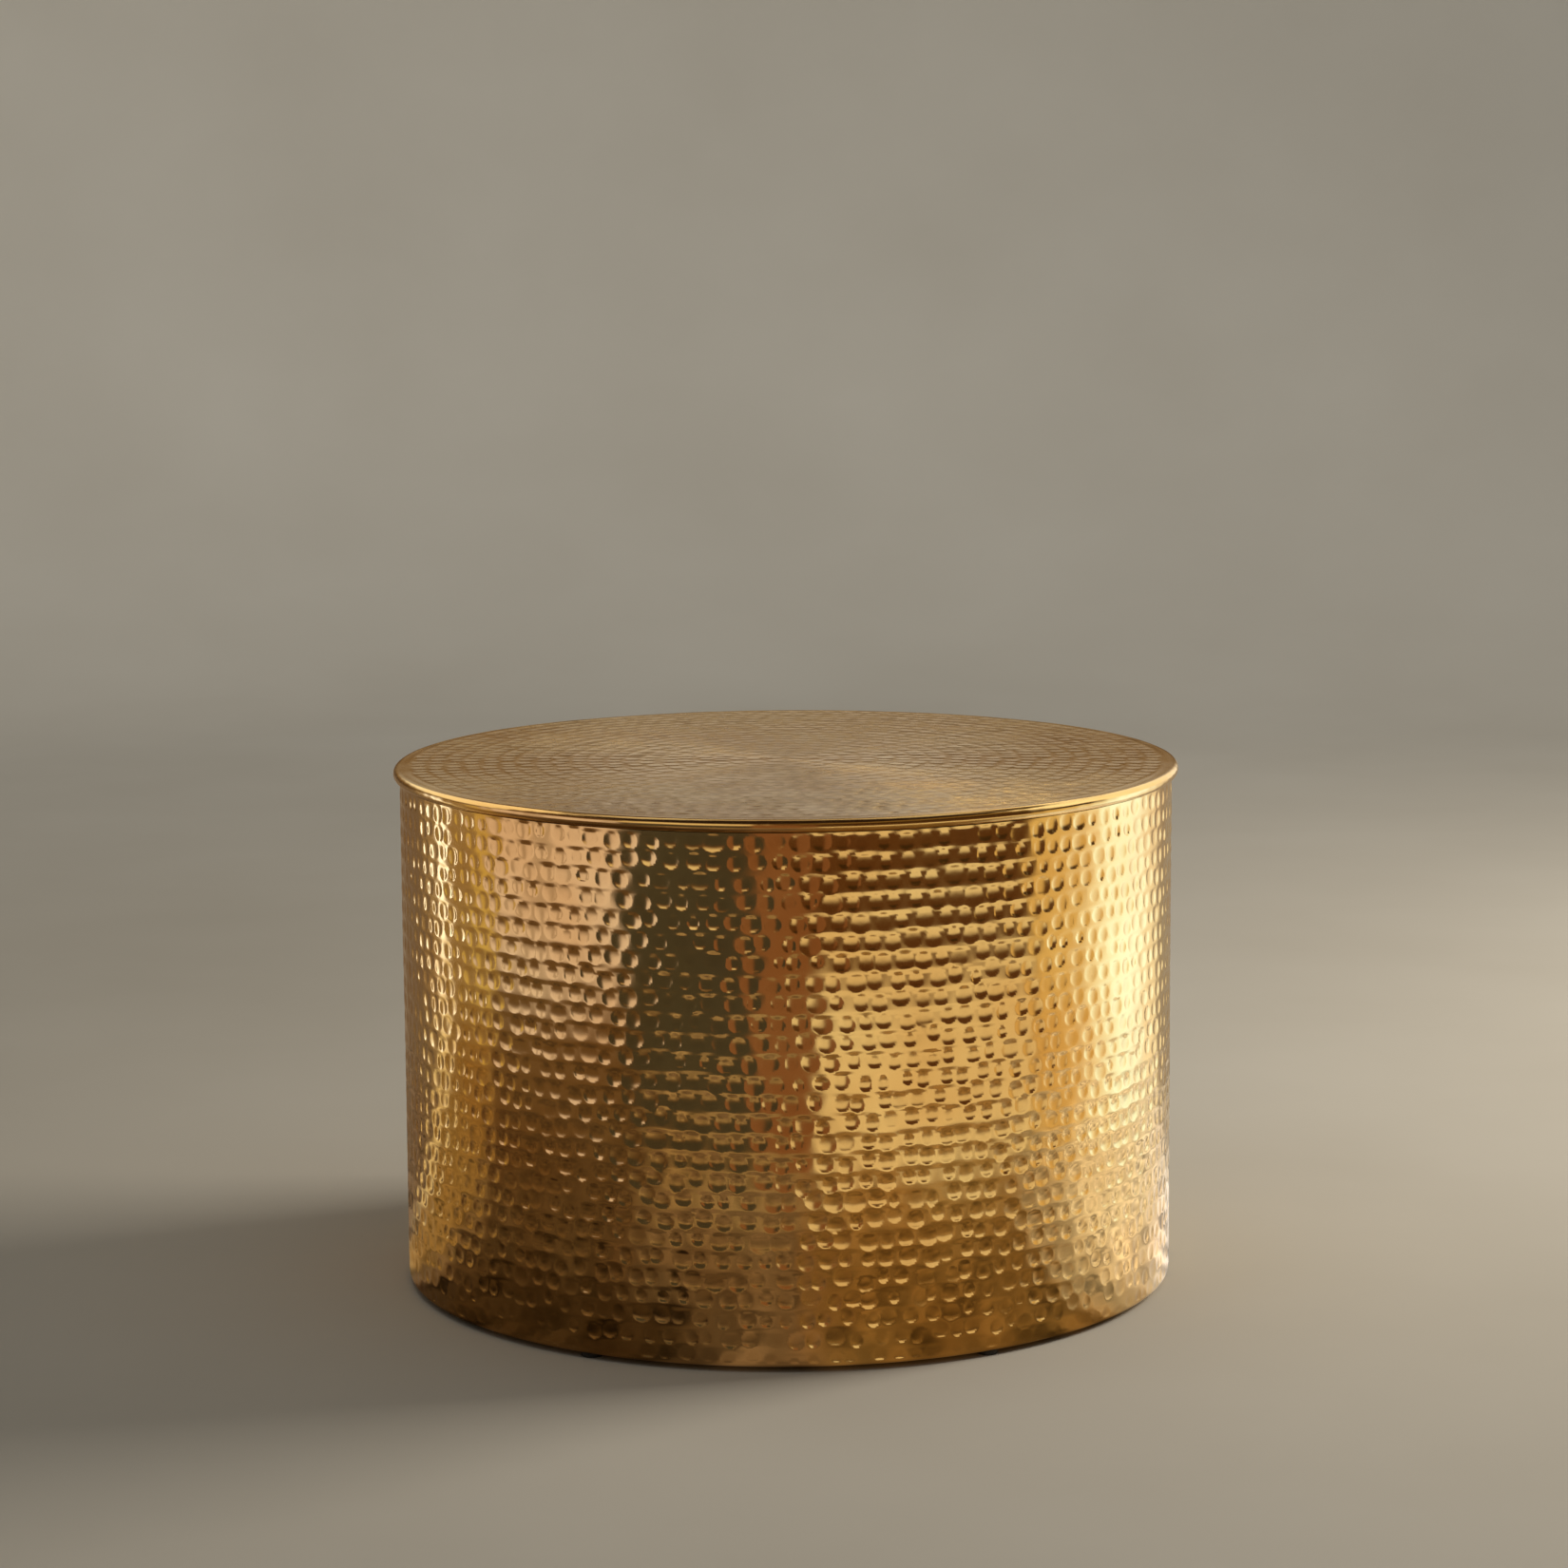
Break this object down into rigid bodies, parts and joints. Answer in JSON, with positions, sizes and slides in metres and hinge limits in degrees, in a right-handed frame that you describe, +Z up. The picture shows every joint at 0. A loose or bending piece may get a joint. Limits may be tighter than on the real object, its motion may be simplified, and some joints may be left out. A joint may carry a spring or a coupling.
{
  "type": "round coffee table",
  "caption": "Low round drum table in hammered sheet brass, with a rolled rim on its lift-off lid and storage inside.",
  "frame": {"origin": "on the floor, below the centre of the drum", "axes": "+Z up along the drum's axis, -Y towards the side that the picture shows, +Y towards the drum's seam"},
  "size_m": [0.6, 0.6, 0.398],
  "materials": {
    "drum_brass": "polished, hammered in rows",
    "lid_brass": "polished, hammered in rings",
    "ring_steel": "mill finish, lacquered",
    "plywood": "sanded birch plywood, clear sealed",
    "felt": "pressed felt, self-adhesive",
    "nylon": "moulded black nylon",
    "screw_steel": "zinc plated"
  },
  "bodies": {
    "drum": {"drum_shell": "drum_brass", "seam_strap": "drum_brass", "top_ring": "ring_steel", "lid_pad_1": "felt", "lid_pad_2": "felt", "lid_pad_3": "felt", "lid_pad_4": "felt", "lid_pad_5": "felt", "lid_pad_6": "felt", "base_board": "plywood", "glide_1": "nylon", "glide_2": "nylon", "glide_3": "nylon", "glide_4": "nylon", "glide_5": "nylon", "glide_6": "nylon", "glide_screws": "screw_steel"},
    "lid": {"lid_sheet": "lid_brass", "rim_wire": "ring_steel", "lid_board": "plywood"}
  },
  "joints": [
    {"name": "lid_lift", "type": "slide", "parent": "drum", "child": "lid", "axis": [0, 0, 1], "range_m": [0, 0.4]}
  ]
}
